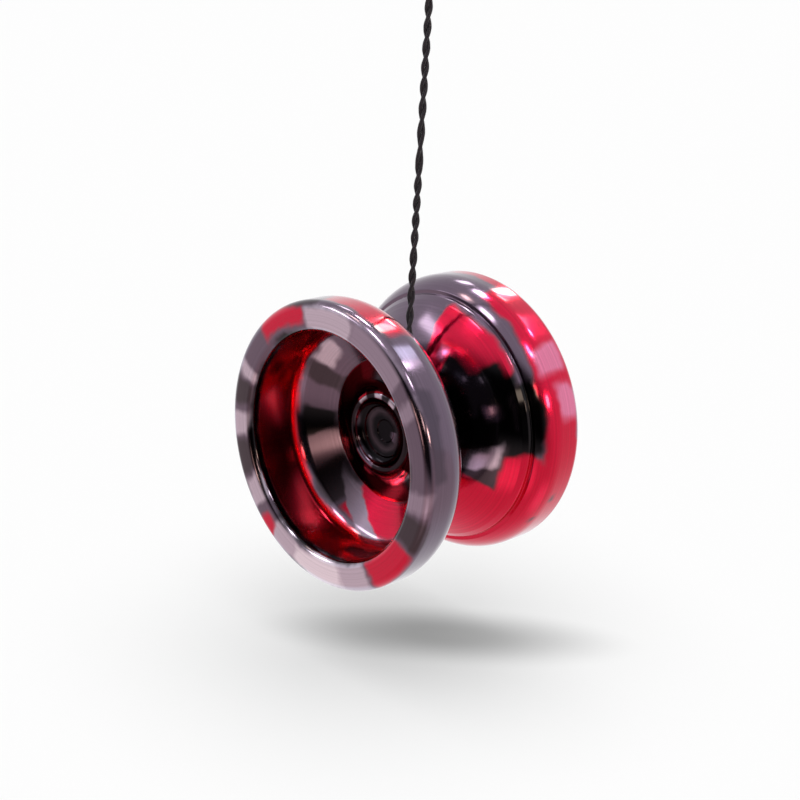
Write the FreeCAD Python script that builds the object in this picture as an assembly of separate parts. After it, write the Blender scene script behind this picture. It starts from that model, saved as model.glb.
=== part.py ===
import FreeCAD, Part

import math
import os

from FreeCAD import Vector

# Metal yo-yo, unwound and hanging on its string: two turned aluminium halves screwed together on
# a threaded stud, a shielded ball bearing between them, a silicone response pad in each half, and
# a two-ply string whose lower loop goes round the bearing and whose upper loop holds a finger.
#
# Millimetres. The origin is the centre of the yo-yo. +Y is the spin axis, towards the rear half,
# and +Z is up along the string. A point of an outline is (radius, distance along Y).

# Ball bearing, 1/4 x 1/2 x 3/16 inch
BEARING_BORE_R = 3.175
BEARING_OUTER_R = 6.35
BEARING_HALF_WIDTH = 2.38
BALL_R = 0.794
BALL_COUNT = 8
PITCH_R = (BEARING_BORE_R + BEARING_OUTER_R) / 2
RACE_HALF_SPACE = 0.45          # radial distance from the pitch circle to either ring's land
RACEWAY_R = BALL_R + 0.066      # running clearance round each ball
RING_CHAMFER = 0.15
SHIELD_SEAT_Y = 1.73
SHIELD_SEAT_R = 5.60
SHIELD_BORE_R = 4.45
SHIELD_THICKNESS = 0.18
SNAP_GROOVE_R = 5.80
SNAP_GROOVE_WIDTH = 0.24
SNAP_RING_BORE_R = 5.38
SNAP_RING_GAP_DEG = 25.0
RETAINER_THICKNESS = 0.37
RETAINER_HALF_WIDTH = 1.15
POCKET_R = BALL_R + 0.046

# Threaded stud, M4 x 8, drawn at its outside diameter
STUD_R = 2.0
STUD_LENGTH = 8.0
STUD_CHAMFER = 0.4
SOCKET_FLATS = 2.0
SOCKET_DEPTH = 1.8
THREAD_CLEARANCE = 0.05         # the rear half turns on the stud
HOLE_END_Y = STUD_LENGTH / 2 + 0.1

# Middle of a half: the post in the bearing, the relief round it and the response pad's groove
POST_CLEARANCE = 0.025
POST_END_Y = 0.05
POST_CHAMFER = 0.2
SEAT_Y = BEARING_HALF_WIDTH + 0.01
SEAT_R = 4.2
RELIEF_R = BEARING_OUTER_R + 0.3
RELIEF_Y = 2.75
WALL_Y = 2.2                    # half of the string gap
PAD_INNER_R = 7.25
PAD_OUTER_R = 9.5
PAD_GROOVE_Y = 3.4
PAD_FACE_Y = 2.27
PAD_CLEARANCE = 0.05

# Gap side of a half, from the wall out to the rim
FLARE_START = (10.3, WALL_Y)
FLARE_MIDDLE = (17.0, 4.05)
FLARE_END = (23.8, 8.35)
BEVEL_END = (24.6, 9.3)
NOTCH_BOTTOM = (24.75, 10.1)
RIM_START = (25.5, 10.1)

# Rim and mouth
BODY_R = 28.0
HALF_WIDTH = 20.6
RIM_ROUND_R = 6.45
SHOULDER_R = 1.7
LIP_R = 1.4
MOUTH_R = 22.1
MOUTH_LAND = 0.9
UNDERCUT = 0.5

# Inside of the cup, from the wall in to the hub
CUP_WALL_Y = 10.73
CUP_CORNER_MIDDLE = (22.06, 8.81)
CUP_FLOOR_START = (20.6, 7.45)
VALLEY = (14.3, 4.3)
HUB_CONE_TOP = (10.4, 5.0)
HUB_CORNER_MIDDLE = (9.31, 5.42)
HUB_CORNER_END = (8.47, 6.23)
HUB_RIM_MIDDLE = (8.1, 6.67)
HUB_RIM_OUTER = (7.5, 6.9)
HUB_RIM_INNER = (7.2, 6.9)
HUB_LIP_MIDDLE = (6.8, 6.75)
HUB_LIP_END = (6.55, 6.4)
HUB_BOWL_MIDDLE = (5.95, 5.8)
HUB_BOWL_END = (5.2, 5.5)
HUB_STEP = (5.0, 5.15)
HUB_WELL_MIDDLE = (3.6, 4.9)
HUB_WELL_END = (2.3, 4.85)
HUB_BOTTOM_R = 2.15
HUB_BOTTOM_Y = 4.65

# String: two plies twisted together, one ply alone round the bearing
PLY_R = 0.375
STRING_R = 2 * PLY_R
BEARING_LOOP_R = BEARING_OUTER_R + PLY_R + 0.02
STRING_START_Z = 11.0
STRING_END_Z = 84.0
KNOT_HEIGHT = 4.4
KNOT_R = 1.6
KNOT_END_R = 1.1
FINGER_LOOP_R = 8.5
FINGER_LOOP_CENTRE_Z = 102.0
LEG_OVERLAP = 0.35              # how far the loops' legs reach into what joins them

AXIS_POINT = Vector(0, 0, 0)
Y_AXIS = Vector(0, 1, 0)
Z_AXIS = Vector(0, 0, 1)


class Outline:
    """A closed outline in the plane of radius and Y, drawn edge by edge."""

    def __init__(self, start):
        self.start = start
        self.here = start
        self.edges = []

    def line(self, *points):
        for point in points:
            self.edges.append(Part.LineSegment(at(self.here), at(point)).toShape())
            self.here = point

    def arc(self, middle, end):
        self.edges.append(Part.Arc(at(self.here), at(middle), at(end)).toShape())
        self.here = end

    def turned(self):
        """The solid that the outline makes round the Y axis."""
        self.line(self.start)
        return Part.Face(Part.Wire(self.edges)).revolve(AXIS_POINT, Y_AXIS, 360)


def at(point):
    return Vector(point[0], point[1], 0)


def on_arc(centre, radius, degrees):
    angle = math.radians(degrees)
    return centre[0] + radius * math.cos(angle), centre[1] + radius * math.sin(angle)


def to_front(shape):
    """The same piece on the other side of the string gap."""
    return shape.mirror(AXIS_POINT, Y_AXIS)


def half_body(hole_r):
    """The rear half: gap side first, then rim, mouth, cup and hub, back to the axis."""
    post_r = BEARING_BORE_R - POST_CLEARANCE
    outline = Outline((0, HOLE_END_Y))
    outline.line(
        (hole_r, HOLE_END_Y),
        (hole_r, POST_END_Y + STUD_CHAMFER),
        (hole_r + STUD_CHAMFER, POST_END_Y),
        (post_r - POST_CHAMFER, POST_END_Y),
        (post_r, POST_END_Y + POST_CHAMFER),
        (post_r, SEAT_Y),
        (SEAT_R, SEAT_Y),
        (SEAT_R, RELIEF_Y),
        (RELIEF_R, RELIEF_Y),
        (RELIEF_R, WALL_Y),
        (PAD_INNER_R, WALL_Y),
        (PAD_INNER_R, PAD_GROOVE_Y),
        (PAD_OUTER_R, PAD_GROOVE_Y),
        (PAD_OUTER_R, WALL_Y),
        FLARE_START,
    )
    outline.arc(FLARE_MIDDLE, FLARE_END)
    outline.line(BEVEL_END, NOTCH_BOTTOM, RIM_START)
    rim(outline)
    cup(outline)
    return outline.turned()


def rim(outline):
    """The rounded rim, its flat outer face and the rounded lip of the mouth."""
    start_angle = math.degrees(math.acos((RIM_START[0] - BODY_R + RIM_ROUND_R) / RIM_ROUND_R))
    round_y = RIM_START[1] + RIM_ROUND_R * math.sin(math.radians(start_angle))
    round_centre = (BODY_R - RIM_ROUND_R, round_y)
    outline.arc(on_arc(round_centre, RIM_ROUND_R, -start_angle / 2), (BODY_R, round_y))

    shoulder = (BODY_R - SHOULDER_R, HALF_WIDTH - SHOULDER_R)
    outline.line(on_arc(shoulder, SHOULDER_R, 0))
    outline.arc(on_arc(shoulder, SHOULDER_R, 45), on_arc(shoulder, SHOULDER_R, 90))

    lip = (MOUTH_R + LIP_R, HALF_WIDTH - LIP_R)
    outline.line(on_arc(lip, LIP_R, 90))
    outline.arc(on_arc(lip, LIP_R, 135), on_arc(lip, LIP_R, 180))


def cup(outline):
    """The undercut wall, the sloping floor and the hub with its stepped bowl."""
    land_y = HALF_WIDTH - LIP_R - MOUTH_LAND
    wall_r = MOUTH_R + UNDERCUT
    outline.line((MOUTH_R, land_y), (wall_r, land_y - UNDERCUT), (wall_r, CUP_WALL_Y))
    outline.arc(CUP_CORNER_MIDDLE, CUP_FLOOR_START)
    outline.line(VALLEY, HUB_CONE_TOP)
    outline.arc(HUB_CORNER_MIDDLE, HUB_CORNER_END)
    outline.arc(HUB_RIM_MIDDLE, HUB_RIM_OUTER)
    outline.line(HUB_RIM_INNER)
    outline.arc(HUB_LIP_MIDDLE, HUB_LIP_END)
    outline.arc(HUB_BOWL_MIDDLE, HUB_BOWL_END)
    outline.line(HUB_STEP)
    outline.arc(HUB_WELL_MIDDLE, HUB_WELL_END)
    outline.line((HUB_BOTTOM_R, HUB_BOTTOM_Y), (0, HUB_BOTTOM_Y))


def response_pad(clearance):
    """The rear silicone ring in the groove of its half, with room for glue or none."""
    outline = Outline((PAD_INNER_R + clearance, PAD_FACE_Y))
    outline.line(
        (PAD_OUTER_R - clearance, PAD_FACE_Y),
        (PAD_OUTER_R - clearance, PAD_GROOVE_Y - clearance),
        (PAD_INNER_R + clearance, PAD_GROOVE_Y - clearance),
    )
    return outline.turned()


def axle_stud():
    """The threaded stud that holds the halves together, with a hexagon socket in its rear end."""
    end_y = STUD_LENGTH / 2
    outline = Outline((0, -end_y))
    outline.line(
        (STUD_R - STUD_CHAMFER, -end_y),
        (STUD_R, STUD_CHAMFER - end_y),
        (STUD_R, end_y - STUD_CHAMFER),
        (STUD_R - STUD_CHAMFER, end_y),
        (0, end_y),
    )
    corner_r = SOCKET_FLATS / math.sqrt(3)
    corners = []
    for number in range(7):
        angle = math.radians(60 * number)
        corners.append(Vector(corner_r * math.cos(angle), end_y, corner_r * math.sin(angle)))
    hexagon = Part.Face(Part.makePolygon(corners))
    return outline.turned().cut(hexagon.extrude(Vector(0, -SOCKET_DEPTH, 0)))


def inner_ring():
    land_r = PITCH_R - RACE_HALF_SPACE
    groove_y = math.sqrt(RACEWAY_R ** 2 - RACE_HALF_SPACE ** 2)
    end_y = BEARING_HALF_WIDTH
    outline = Outline((BEARING_BORE_R, -end_y + RING_CHAMFER))
    outline.line((BEARING_BORE_R + RING_CHAMFER, -end_y), (land_r, -end_y), (land_r, -groove_y))
    outline.arc((PITCH_R - RACEWAY_R, 0), (land_r, groove_y))
    outline.line(
        (land_r, end_y),
        (BEARING_BORE_R + RING_CHAMFER, end_y),
        (BEARING_BORE_R, end_y - RING_CHAMFER),
    )
    return outline.turned()


def outer_ring():
    """The ring that the string rides on, stepped at both ends for a shield and its snap ring."""
    land_r = PITCH_R + RACE_HALF_SPACE
    groove_y = math.sqrt(RACEWAY_R ** 2 - RACE_HALF_SPACE ** 2)
    end_y = BEARING_HALF_WIDTH
    snap_start = SHIELD_SEAT_Y + SHIELD_THICKNESS + 0.02
    snap_end = snap_start + SNAP_GROOVE_WIDTH
    rear_step = [
        (land_r, SHIELD_SEAT_Y),
        (SHIELD_SEAT_R, SHIELD_SEAT_Y),
        (SHIELD_SEAT_R, snap_start),
        (SNAP_GROOVE_R, snap_start),
        (SNAP_GROOVE_R, snap_end),
        (SHIELD_SEAT_R, snap_end),
        (SHIELD_SEAT_R, end_y),
        (BEARING_OUTER_R - RING_CHAMFER, end_y),
        (BEARING_OUTER_R, end_y - RING_CHAMFER),
    ]
    front_step = [(radius, -y) for radius, y in reversed(rear_step)]
    outline = Outline((land_r, -groove_y))
    outline.arc((PITCH_R + RACEWAY_R, 0), (land_r, groove_y))
    outline.line(*rear_step, *front_step)
    return outline.turned()


def shield():
    """The rear shield: a thin dished washer against its step in the outer ring."""
    flange_end = SHIELD_SEAT_Y + SHIELD_THICKNESS
    dish = 0.2
    bend_r = SHIELD_SEAT_R - 0.4
    outline = Outline((SHIELD_BORE_R, SHIELD_SEAT_Y + dish))
    outline.line(
        (bend_r - dish, SHIELD_SEAT_Y + dish),
        (bend_r, SHIELD_SEAT_Y),
        (SHIELD_SEAT_R, SHIELD_SEAT_Y),
        (SHIELD_SEAT_R, flange_end),
        (bend_r, flange_end),
        (bend_r - dish, flange_end + dish),
        (SHIELD_BORE_R, flange_end + dish),
    )
    return outline.turned()


def snap_ring():
    """The split wire ring that keeps the rear shield in."""
    start_y = SHIELD_SEAT_Y + SHIELD_THICKNESS + 0.02
    end_y = start_y + SNAP_GROOVE_WIDTH
    corners = [
        Vector(SNAP_RING_BORE_R, start_y, 0),
        Vector(SNAP_GROOVE_R, start_y, 0),
        Vector(SNAP_GROOVE_R, end_y, 0),
        Vector(SNAP_RING_BORE_R, end_y, 0),
        Vector(SNAP_RING_BORE_R, start_y, 0),
    ]
    section = Part.Face(Part.makePolygon(corners))
    return section.revolve(AXIS_POINT, Y_AXIS, 360 - SNAP_RING_GAP_DEG)


def ball_centre(number):
    angle = math.radians(360 / BALL_COUNT * number)
    return Vector(PITCH_R * math.cos(angle), 0, PITCH_R * math.sin(angle))


def ball_retainer():
    """The cage: a thin ring with a round pocket for each ball."""
    inner_r = PITCH_R - RETAINER_THICKNESS / 2
    outer_r = PITCH_R + RETAINER_THICKNESS / 2
    outline = Outline((inner_r, -RETAINER_HALF_WIDTH))
    outline.line(
        (outer_r, -RETAINER_HALF_WIDTH),
        (outer_r, RETAINER_HALF_WIDTH),
        (inner_r, RETAINER_HALF_WIDTH),
    )
    ring = outline.turned()
    for number in range(BALL_COUNT):
        outward = ball_centre(number).normalize()
        start = outward * (inner_r - 1)
        ring = ring.cut(Part.makeCylinder(POCKET_R, RETAINER_THICKNESS + 2, start, outward))
    return ring


def tear_loop(loop_r, wire_r, leg_end_x, leg_end_rise):
    """A loop of string round the origin, whose two legs close in to a point above it."""
    reach = math.hypot(leg_end_x, leg_end_rise)
    leg_angle = math.atan2(leg_end_rise, leg_end_x) - math.acos(loop_r / reach)
    right = Vector(loop_r * math.cos(leg_angle), 0, loop_r * math.sin(leg_angle))
    left = Vector(-right.x, 0, right.z)
    right_end = Vector(leg_end_x, 0, leg_end_rise)
    left_end = Vector(-leg_end_x, 0, leg_end_rise)
    path = Part.Wire([
        Part.LineSegment(right_end, right).toShape(),
        Part.Arc(right, Vector(0, 0, -loop_r), left).toShape(),
        Part.LineSegment(left, left_end).toShape(),
    ])
    section = Part.Wire(Part.makeCircle(wire_r, right_end, right - right_end))
    return path.makePipeShell([section], True, True)


def bearing_loop():
    """One ply round the bearing's outer ring. Its ends lie side by side where the string starts."""
    rise = STRING_START_Z + LEG_OVERLAP
    return tear_loop(BEARING_LOOP_R, PLY_R, PLY_R + 0.02, rise)


def string():
    length = STRING_END_Z - STRING_START_Z
    return Part.makeCylinder(STRING_R, length, Vector(0, 0, STRING_START_Z), Z_AXIS)


def string_knot():
    """The slip knot under the finger loop, as a barrel."""
    top_z = STRING_END_Z + KNOT_HEIGHT
    middle_z = STRING_END_Z + KNOT_HEIGHT / 2
    bottom = Vector(KNOT_END_R, 0, STRING_END_Z)
    top = Vector(KNOT_END_R, 0, top_z)
    side = Part.Arc(bottom, Vector(KNOT_R, 0, middle_z), top).toShape()
    ends = Part.makePolygon([top, Vector(0, 0, top_z), Vector(0, 0, STRING_END_Z), bottom])
    return Part.Face(Part.Wire([side] + ends.Edges)).revolve(AXIS_POINT, Z_AXIS, 360)


def finger_loop():
    """The loop above the knot, with its legs reaching down into the knot."""
    legs_end_z = STRING_END_Z + KNOT_HEIGHT - LEG_OVERLAP
    rise = FINGER_LOOP_CENTRE_Z - legs_end_z
    loop = tear_loop(FINGER_LOOP_R, STRING_R, STRING_R + 0.05, rise)
    loop.rotate(AXIS_POINT, Y_AXIS, 180)
    loop.translate(Vector(0, 0, FINGER_LOOP_CENTRE_Z))
    return loop


def pieces():
    """Every piece of the yo-yo by its name."""
    made = {
        "front_half": to_front(half_body(STUD_R)),
        "rear_half": half_body(STUD_R + THREAD_CLEARANCE),
        "axle_stud": axle_stud(),
        "bearing_inner_ring": inner_ring(),
        "bearing_outer_ring": outer_ring(),
        "ball_retainer": ball_retainer(),
        "front_shield": to_front(shield()),
        "rear_shield": shield(),
        "front_snap_ring": to_front(snap_ring()),
        "rear_snap_ring": snap_ring(),
        "front_response_pad": to_front(response_pad(0)),
        "rear_response_pad": response_pad(PAD_CLEARANCE),
        "string_bearing_loop": bearing_loop(),
        "string": string(),
        "string_knot": string_knot(),
        "finger_loop": finger_loop(),
    }
    for number in range(BALL_COUNT):
        made[f"ball_{number + 1}"] = Part.makeSphere(BALL_R, ball_centre(number))
    return made


os.makedirs("parts", exist_ok=True)
for name, shape in pieces().items():
    solid = shape.Solids[0]
    print(f"{name:22s} valid={solid.isValid()} solids={len(shape.Solids)} mm3={solid.Volume:.2f}")
    solid.exportStep(f"parts/{name}.step")
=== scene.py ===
"""A splash-anodised metal yo-yo hanging unwound on its string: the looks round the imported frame.

Metres in the frame's own axes: +Y is the spin axis, towards the rear half, and +Z is up the string.
Outlines are in millimetres, as (radius, distance along Y), the way the part is drawn.
"""

import math

import bpy
import numpy as np
from mathutils import Matrix, Vector


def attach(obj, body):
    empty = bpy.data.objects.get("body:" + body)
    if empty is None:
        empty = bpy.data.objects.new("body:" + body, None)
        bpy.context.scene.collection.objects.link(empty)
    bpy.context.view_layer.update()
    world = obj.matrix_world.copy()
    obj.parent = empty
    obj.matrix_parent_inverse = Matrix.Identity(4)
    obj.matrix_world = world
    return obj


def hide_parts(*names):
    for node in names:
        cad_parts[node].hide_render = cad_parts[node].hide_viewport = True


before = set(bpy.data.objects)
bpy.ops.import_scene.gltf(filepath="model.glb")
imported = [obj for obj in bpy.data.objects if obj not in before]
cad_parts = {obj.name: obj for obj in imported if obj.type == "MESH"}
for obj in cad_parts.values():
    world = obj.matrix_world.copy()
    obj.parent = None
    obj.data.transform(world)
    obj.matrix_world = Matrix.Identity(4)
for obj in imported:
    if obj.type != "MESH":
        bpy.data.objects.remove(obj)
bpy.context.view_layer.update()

MM = 0.001

# Camera: where it stands round the yo-yo, and where the yo-yo's centre lies in its view
CAMERA_AZIMUTH = 45.0
CAMERA_ELEVATION = 19.4
CAMERA_ROLL = 3.43
CAMERA_DISTANCE = 0.3114
CENTRE_RIGHT = 0.00062
CENTRE_UP = -0.0051
CAMERA_LENS = 71.5

# Bearing and stud. The thread's crest and flanks are shares of half a pitch.
BEARING_BORE_R = 3.175
BEARING_OUTER_R = 6.35
STUD_R = 2.0
STUD_LENGTH = 8.0
STUD_CHAMFER = 0.4
THREAD_PITCH = 0.7
THREAD_DEPTH = 0.4
THREAD_CREST = 0.125
THREAD_FLANK = 0.7
THREAD_CLEARANCE = 0.05
THREAD_SEGMENTS = 48
RINGS_PER_PITCH = 12
SOCKET_FLATS = 2.0
SOCKET_DEPTH = 1.8
HOLE_END_Y = 4.1

# Middle of a half: the post in the bearing, the relief round it and the response pad's groove
POST_CLEARANCE = 0.025
POST_R = BEARING_BORE_R - POST_CLEARANCE
POST_END_Y = 0.05
POST_CHAMFER = 0.2
SEAT_Y = 2.39
SEAT_R = 4.2
RELIEF_R = BEARING_OUTER_R + 0.3
RELIEF_Y = 2.75
WALL_Y = 2.2
PAD_INNER_R = 7.25
PAD_OUTER_R = 9.5
PAD_GROOVE_Y = 3.4
PAD_FACE_Y = 2.27
PAD_CLEARANCE = 0.05

# Gap side of a half, from the wall out to the rim
FLARE_START = (10.3, WALL_Y)
FLARE_MIDDLE = (17.0, 4.05)
FLARE_END = (23.8, 8.35)
BEVEL_END = (24.6, 9.3)
NOTCH_BOTTOM = (24.75, 10.1)
RIM_START = (25.5, 10.1)

# Rim and mouth
BODY_R = 28.0
HALF_WIDTH = 20.6
RIM_ROUND_R = 6.45
SHOULDER_R = 1.7
LIP_R = 1.4
MOUTH_R = 22.1
MOUTH_LAND = 0.9
UNDERCUT = 0.5

# Inside of the cup, from the wall in to the hub
CUP_WALL_Y = 10.73
CUP_CORNER_MIDDLE = (22.06, 8.81)
CUP_FLOOR_START = (20.6, 7.45)
VALLEY = (14.3, 4.3)
HUB_CONE_TOP = (10.4, 5.0)
HUB_CORNER_MIDDLE = (9.31, 5.42)
HUB_CORNER_END = (8.47, 6.23)
HUB_RIM_MIDDLE = (8.1, 6.67)
HUB_RIM_OUTER = (7.5, 6.9)
HUB_RIM_INNER = (7.2, 6.9)
HUB_LIP_MIDDLE = (6.8, 6.75)
HUB_LIP_END = (6.55, 6.4)
HUB_BOWL_MIDDLE = (5.95, 5.8)
HUB_BOWL_END = (5.2, 5.5)
HUB_STEP = (5.0, 5.15)
HUB_WELL_MIDDLE = (3.6, 4.9)
HUB_WELL_END = (2.3, 4.85)
HUB_BOTTOM_R = 2.15
HUB_BOTTOM_Y = 4.65

# String: two plies twisted together, one ply alone round the bearing
PLY_R = 0.375
STRING_R = 2 * PLY_R
STRING_STEP = 0.14
BEARING_LOOP_CLEARANCE = 0.02
BEARING_LOOP_R = BEARING_OUTER_R + PLY_R + BEARING_LOOP_CLEARANCE
BEARING_LEGS_END_Z = 11.3
KNOT_HEIGHT = 4.4
KNOT_CORE_R = 0.9
KNOT_CORE_SHARES = (0.02, 0.5, 0.94)
KNOT_COIL_R = 1.0
KNOT_END_TAPER = 0.2
KNOT_STRAND_R = 0.52
KNOT_TURNS = 3.4
LOOP_STEP_DEG = 4
FINGER_LOOP_R = 8.5
FINGER_LOOP_CENTRE_Z = 102.0
FINGER_LEGS_CLEARANCE = 0.05
LEG_OVERLAP = 0.35
STRING_ROUTE = [(0, 0, 11), (0, 0, 20), (0, 0, 75), (0, 0, 84)]
# Lengths between one crossing of the plies and the next, from the bearing up. The string was
# untwisted a little where the long one is.
LOBES = [2.8, 3.8, 3.9, 4.0, 3.9, 3.5, 4.1, 3.3, 3.25, 3.4, 3.6, 6.0, 4.6, 3.9, 3.6, 3.5]
USUAL_LOBE = 3.6
LOBE_EASE = 1.6
# A ply has yarns twisted in it, with a groove between each two
PLY_YARNS = 7
PLY_LAY = 2.1
PLY_GROOVE = 0.11
PLY_SEGMENTS = 28

# Turned meshes
TURN_SEGMENTS = 256
ARC_STEP_DEG = 5.0
EDGE_ROUND = 0.12

# Anodised metal. Clock angles become millimetres at WRAP_R. A wander is a list of (waves to the
# millimetre, reach in millimetres).
WRAP_R = 25.0
SPLASH_EDGE = 0.8
CORNER_ROUND = 2.0
CLOCK_WANDER = [(0.09, 3.0), (0.4, 0.8)]
REACH_WANDER = [(0.12, 1.6), (0.5, 0.5)]
BROAD_WAVES_PER_MM = 0.055
BROAD_EDGE = (0.50, 0.53)
MARKS_PER_MM = 2.2
MARK_CONTRAST = 0.36
MARK_DEPTH = 0.0008
METAL_ROUGHNESS = 0.16
METAL_ANISOTROPY = 0.55
OXIDE_IOR = 1.22
OXIDE_ROUGHNESS = 0.03
HUB_GLOSS = 0.2

# Studio
FLOOR_Z = -0.045
FLOOR_TONE = 0.45
FLOOR_GLOW = 0.49
OVERHEAD_WIDTH = 78.0
OVERHEAD_STRENGTH = 3.46
# Painted shadow on the floor: how far right of the yo-yo's middle its pool lies, how far it
# reaches, and how much it darkens
PAINTED_SHADE_RIGHT = 0.0115
PAINTED_SHADE_REACH = (0.042, 0.014)
PAINTED_SHADE_DEPTH = 0.45


# ---------------------------------------------------------------- node and mesh helpers

def add(tree, kind, inputs=None, **settings):
    """A new node. An input is a value, or the socket that feeds it."""
    made = tree.nodes.new(kind)
    for key, value in settings.items():
        setattr(made, key, value)
    for key, value in (inputs or {}).items():
        if isinstance(value, bpy.types.NodeSocket):
            tree.links.new(value, made.inputs[key])
        else:
            made.inputs[key].default_value = value
    return made


def new_material(name):
    """An empty node material with its surface shader and output."""
    material = bpy.data.materials.new(name)
    material.use_nodes = True
    tree = material.node_tree
    tree.nodes.clear()
    shader = add(tree, "ShaderNodeBsdfPrincipled")
    add(tree, "ShaderNodeOutputMaterial", {"Surface": shader.outputs["BSDF"]})
    return material, tree, shader


def math_node(tree, operation, *values):
    made = add(tree, "ShaderNodeMath", dict(enumerate(values)), operation=operation)
    return made.outputs["Value"]


def mix_colour(tree, factor, first, second):
    made = add(tree, "ShaderNodeMix", {0: factor, 6: first, 7: second}, data_type="RGBA")
    return made.outputs[2]


def ramp(tree, value, low, high):
    """0 below low, 1 above high, and smooth between."""
    made = add(tree, "ShaderNodeMapRange",
               {"Value": value, "From Min": low, "From Max": high}, interpolation_type="SMOOTHSTEP")
    return made.outputs["Result"]


def mesh_object(name, points, faces, body, slot, material, replaced):
    """A smooth mesh piece in metres, riding on a body and standing for CAD nodes."""
    mesh = bpy.data.meshes.new(name)
    mesh.from_pydata([tuple(p) for p in points], [], faces)
    mesh.polygons.foreach_set("use_smooth", [True] * len(mesh.polygons))
    mesh.update()
    piece = bpy.data.objects.new(name, mesh)
    bpy.context.scene.collection.objects.link(piece)
    mesh.materials.append(material)
    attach(piece, body)
    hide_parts(*replaced)
    return piece


# ---------------------------------------------------------------- turned pieces

class Outline:
    """An outline in millimetres, drawn edge by edge. Arcs become short runs."""

    def __init__(self, start):
        self.points = [start]

    def line(self, *points):
        self.points.extend(points)

    def arc(self, middle, end):
        centre, radius = circle_through(self.points[-1], middle, end)
        angles = [math.atan2(p[1] - centre[1], p[0] - centre[0])
                  for p in (self.points[-1], middle, end)]
        sweep = (angles[2] - angles[0]) % (2 * math.pi)
        if (angles[1] - angles[0]) % (2 * math.pi) > sweep:
            sweep -= 2 * math.pi
        steps = max(8, math.ceil(abs(math.degrees(sweep)) / ARC_STEP_DEG))
        for step in range(1, steps + 1):
            angle = angles[0] + sweep * step / steps
            self.points.append((centre[0] + radius * math.cos(angle),
                                centre[1] + radius * math.sin(angle)))


def circle_through(a, b, c):
    (ax, ay), (bx, by), (cx, cy) = a, b, c
    d = 2 * (ax * (by - cy) + bx * (cy - ay) + cx * (ay - by))
    a2, b2, c2 = ax * ax + ay * ay, bx * bx + by * by, cx * cx + cy * cy
    centre = ((a2 * (by - cy) + b2 * (cy - ay) + c2 * (ay - by)) / d,
              (a2 * (cx - bx) + b2 * (ax - cx) + c2 * (bx - ax)) / d)
    return centre, math.dist(centre, a)


def eased(points, closed):
    """The outline with every corner eased by a small round: points and their directions."""
    line = [np.array(p, float) for p in points]
    count = len(line)
    eased_points, directions = [], []
    for number in range(count):
        here = line[number]
        before = line[number - 1] if closed or number else None
        after = line[(number + 1) % count] if closed or number < count - 1 else None
        if before is None or after is None:
            along = after - here if before is None else here - before
            eased_points.append(here)
            directions.append(along / np.linalg.norm(along))
            continue
        come, go = here - before, after - here
        come_length, go_length = np.linalg.norm(come), np.linalg.norm(go)
        come, go = come / come_length, go / go_length
        turn = math.acos(max(-1.0, min(1.0, float(come @ go))))
        if turn < math.radians(1.6 * ARC_STEP_DEG):
            mean = come + go
            eased_points.append(here)
            directions.append(mean / np.linalg.norm(mean))
            continue
        cut = min(EDGE_ROUND, 0.4 * come_length, 0.4 * go_length)
        for t in (0.0, 0.25, 0.5, 0.75, 1.0):
            first, last = here - come * cut, here + go * cut
            eased_points.append((1 - t) ** 2 * first + 2 * t * (1 - t) * here + t * t * last)
            along = (1 - t) * come + t * go
            directions.append(along / np.linalg.norm(along))
    return np.array(eased_points), np.array(directions)


def turned(name, outline, body, slot, material, replaced, front=False, closed=False):
    """A piece turned on a lathe from an outline that has its material on the left.
    Its flow attribute is (x, distance along the outline, z) in millimetres."""
    line, direction = eased(outline.points, closed)
    reach = np.concatenate([[0], np.cumsum(np.linalg.norm(np.diff(line, axis=0), axis=1))])
    side = -1 if front else 1
    points, normals, flow, rings = [], [], [], []
    for (radius, y), (dr, dy), s in zip(line, direction, reach):
        spokes = 1 if radius < 1e-6 else TURN_SEGMENTS
        rings.append((len(points), spokes))
        for number in range(spokes):
            angle = 2 * math.pi * number / TURN_SEGMENTS
            c, n = math.cos(angle), math.sin(angle)
            points.append((radius * c * MM, side * y * MM, radius * n * MM))
            flow.append((radius * c, s, radius * n))
            normal = (0.0, -side * dr if spokes > 1 else -side * np.sign(dr), 0.0)
            if spokes > 1:
                normal = (dy * c, -side * dr, dy * n)
            normals.append(normal)
    faces = []
    spans = len(rings) if closed else len(rings) - 1
    for number in range(spans):
        (a, a_count), (b, b_count) = rings[number], rings[(number + 1) % len(rings)]
        for k in range(TURN_SEGMENTS):
            following = (k + 1) % TURN_SEGMENTS
            if a_count == 1:
                face = (a, b + following, b + k)
            elif b_count == 1:
                face = (a + k, a + following, b)
            else:
                face = (a + k, a + following, b + following, b + k)
            faces.append(face if front else face[::-1])
    piece = mesh_object(name, points, faces, body, slot, material, replaced)
    mesh = piece.data
    mesh.normals_split_custom_set_from_vertices(normals)
    store = mesh.attributes.new("flow", "FLOAT_VECTOR", "POINT")
    store.data.foreach_set("vector", np.array(flow, np.float32).ravel())
    return piece


def on_arc(centre, radius, degrees):
    angle = math.radians(degrees)
    return centre[0] + radius * math.cos(angle), centre[1] + radius * math.sin(angle)


def half_outline(hole_r):
    """Gap side first, then rim, mouth, cup and hub."""
    outline = Outline((0, HOLE_END_Y))
    outline.line(
        (hole_r, HOLE_END_Y),
        (hole_r, POST_END_Y + STUD_CHAMFER),
        (hole_r + STUD_CHAMFER, POST_END_Y),
        (POST_R - POST_CHAMFER, POST_END_Y),
        (POST_R, POST_END_Y + POST_CHAMFER),
        (POST_R, SEAT_Y),
        (SEAT_R, SEAT_Y),
        (SEAT_R, RELIEF_Y),
        (RELIEF_R, RELIEF_Y),
        (RELIEF_R, WALL_Y),
        (PAD_INNER_R, WALL_Y),
        (PAD_INNER_R, PAD_GROOVE_Y),
        (PAD_OUTER_R, PAD_GROOVE_Y),
        (PAD_OUTER_R, WALL_Y),
        FLARE_START,
    )
    outline.arc(FLARE_MIDDLE, FLARE_END)
    outline.line(BEVEL_END, NOTCH_BOTTOM, RIM_START)
    rim_outline(outline)
    cup_outline(outline)
    return outline


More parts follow.
